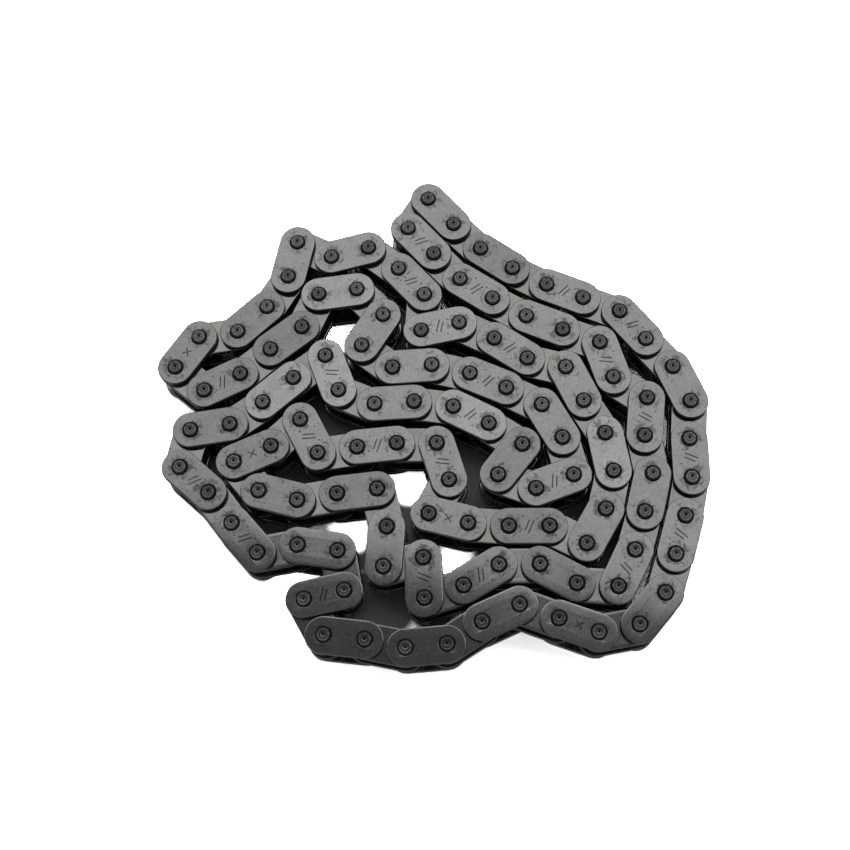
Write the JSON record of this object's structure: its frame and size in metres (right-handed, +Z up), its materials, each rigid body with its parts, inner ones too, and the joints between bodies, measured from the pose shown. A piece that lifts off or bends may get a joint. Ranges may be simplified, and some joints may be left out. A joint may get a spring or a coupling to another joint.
{
  "type": "timing chain",
  "caption": "Endless single-row bush timing chain of riveted steel links, lying on its side in a loose folded pile.",
  "frame": {"origin": "centre of the footprint, on the surface that the chain lies on", "axes": "+Z up, along every pin, the shortest extent; +X along the pile's longest extent, to the right as pictured; +Y away from the viewer"},
  "size_m": [0.1332, 0.1221, 0.0133],
  "materials": {
    "outer_plates": "tumbled, matte, lightly stained",
    "inner_plates": "tumbled, matte",
    "pins_and_bushes": "dark, staked ends",
    "chain_links": "tumbled, matte, lightly stained"
  },
  "bodies": {
    "pile": {"run_020_023": "chain_links", "run_024_027": "chain_links", "run_028_031": "chain_links", "run_032_035": "chain_links", "run_036_038": "chain_links", "run_039_041": "chain_links", "run_042_044": "chain_links", "run_045_047": "chain_links", "run_048_050": "chain_links", "run_051_053": "chain_links", "run_054_056": "chain_links", "run_057_059": "chain_links", "run_060_062": "chain_links", "run_063_065": "chain_links", "run_066_068": "chain_links", "run_069_071": "chain_links", "run_072_074": "chain_links", "run_075_077": "chain_links", "run_078_080": "chain_links", "run_081_083": "chain_links", "run_084_086": "chain_links", "run_087_089": "chain_links", "run_090_092": "chain_links", "run_093_095": "chain_links", "run_096_098": "chain_links", "run_099_101": "chain_links", "run_102_104": "chain_links", "run_105_107": "chain_links", "run_108_110": "chain_links", "run_111_113": "chain_links", "run_114_116": "chain_links"},
    "link_000": {"link_000_lower_plate": "outer_plates", "link_000_pin": "pins_and_bushes", "link_000_upper_plate": "outer_plates"},
    "link_001": {"link_001_bush_a": "pins_and_bushes", "link_001_bush_b": "pins_and_bushes", "link_001_lower_plate": "inner_plates", "link_001_upper_plate": "inner_plates"},
    "link_002": {"link_002_lower_plate": "outer_plates", "link_002_pin_a": "pins_and_bushes", "link_002_pin_b": "pins_and_bushes", "link_002_upper_plate": "outer_plates"},
    "link_003": {"link_003": "inner_plates"},
    "link_004": {"link_004": "outer_plates"},
    "link_005": {"link_005": "inner_plates"},
    "link_006": {"link_006": "outer_plates"},
    "link_007": {"link_007": "inner_plates"},
    "link_008": {"link_008": "outer_plates"},
    "link_009": {"link_009": "inner_plates"},
    "link_010": {"link_010": "outer_plates"},
    "link_011": {"link_011": "inner_plates"},
    "link_012": {"link_012": "outer_plates"},
    "link_013": {"link_013": "inner_plates"},
    "link_014": {"link_014": "outer_plates"},
    "link_015": {"link_015": "inner_plates"},
    "link_016": {"link_016": "outer_plates"},
    "link_017": {"link_017": "inner_plates"},
    "link_018": {"link_018": "outer_plates"},
    "link_019": {"link_019": "inner_plates"},
    "link_117": {"link_117": "inner_plates"}
  },
  "joints": [
    {"name": "pivot_001", "type": "hinge", "parent": "link_001", "child": "link_000", "pos_m": [0.00544, 0.04968, 0.00665], "axis": [0, 0, 1], "range_deg": [-45, 0]},
    {"name": "pivot_002", "type": "hinge", "parent": "link_002", "child": "link_001", "pos_m": [0.01215, 0.04292, 0.00665], "axis": [0, 0, -1], "range_deg": [0, 45]},
    {"name": "pivot_003", "type": "hinge", "parent": "link_003", "child": "link_002", "pos_m": [0.02004, 0.03758, 0.00665], "axis": [0, 0, 1], "range_deg": [-45, 0]},
    {"name": "pivot_004", "type": "hinge", "parent": "link_004", "child": "link_003", "pos_m": [0.02845, 0.03311, 0.00665], "axis": [0, 0, -1], "range_deg": [0, 45]},
    {"name": "pivot_005", "type": "hinge", "parent": "link_005", "child": "link_004", "pos_m": [0.03727, 0.02953, 0.00665], "axis": [0, 0, 1], "range_deg": [-45, 0]},
    {"name": "pivot_006", "type": "hinge", "parent": "link_006", "child": "link_005", "pos_m": [0.04613, 0.02601, 0.00665], "axis": [0, 0, -1], "range_deg": [0, 45]},
    {"name": "pivot_007", "type": "hinge", "parent": "link_007", "child": "link_006", "pos_m": [0.05225, 0.01872, 0.00665], "axis": [0, 0, 1], "range_deg": [-45, 0]},
    {"name": "pivot_008", "type": "hinge", "parent": "link_008", "child": "link_007", "pos_m": [0.05844, 0.01148, 0.00665], "axis": [0, 0, -1], "range_deg": [0, 45]},
    {"name": "pivot_009", "type": "hinge", "parent": "link_009", "child": "link_008", "pos_m": [0.0623, 0.00277, 0.00665], "axis": [0, 0, 1], "range_deg": [-45, 0]},
    {"name": "pivot_010", "type": "hinge", "parent": "link_010", "child": "link_009", "pos_m": [0.06158, -0.00673, 0.00665], "axis": [0, 0, -1], "range_deg": [0, 45]},
    {"name": "pivot_011", "type": "hinge", "parent": "link_011", "child": "link_010", "pos_m": [0.06173, -0.01625, 0.00665], "axis": [0, 0, 1], "range_deg": [-45, 0]},
    {"name": "pivot_012", "type": "hinge", "parent": "link_012", "child": "link_011", "pos_m": [0.05976, -0.02557, 0.00665], "axis": [0, 0, -1], "range_deg": [0, 45]},
    {"name": "pivot_013", "type": "hinge", "parent": "link_013", "child": "link_012", "pos_m": [0.05713, -0.03473, 0.00665], "axis": [0, 0, 1], "range_deg": [-45, 0]},
    {"name": "pivot_014", "type": "hinge", "parent": "link_014", "child": "link_013", "pos_m": [0.05434, -0.04383, 0.00665], "axis": [0, 0, -1], "range_deg": [0, 45]},
    {"name": "pivot_015", "type": "hinge", "parent": "link_015", "child": "link_014", "pos_m": [0.04822, -0.05113, 0.00665], "axis": [0, 0, 1], "range_deg": [-45, 0]},
    {"name": "pivot_016", "type": "hinge", "parent": "link_016", "child": "link_015", "pos_m": [0.03887, -0.05295, 0.00665], "axis": [0, 0, -1], "range_deg": [0, 45]},
    {"name": "pivot_017", "type": "hinge", "parent": "link_017", "child": "link_016", "pos_m": [0.02986, -0.04985, 0.00665], "axis": [0, 0, 1], "range_deg": [-45, 0]},
    {"name": "pivot_018", "type": "hinge", "parent": "link_018", "child": "link_017", "pos_m": [0.02089, -0.04665, 0.00665], "axis": [0, 0, -1], "range_deg": [0, 45]},
    {"name": "pivot_019", "type": "hinge", "parent": "link_019", "child": "link_018", "pos_m": [0.01225, -0.05066, 0.00665], "axis": [0, 0, 1], "range_deg": [-45, 0]},
    {"name": "pivot_020", "type": "hinge", "parent": "pile", "child": "link_019", "pos_m": [0.00425, -0.05583, 0.00665], "axis": [0, 0, -1], "range_deg": [0, 45]},
    {"name": "pivot_117", "type": "hinge", "parent": "pile", "child": "link_117", "pos_m": [-0.00597, 0.04858, 0.00665], "axis": [0, 0, 1], "range_deg": [0, 60]}
  ]
}
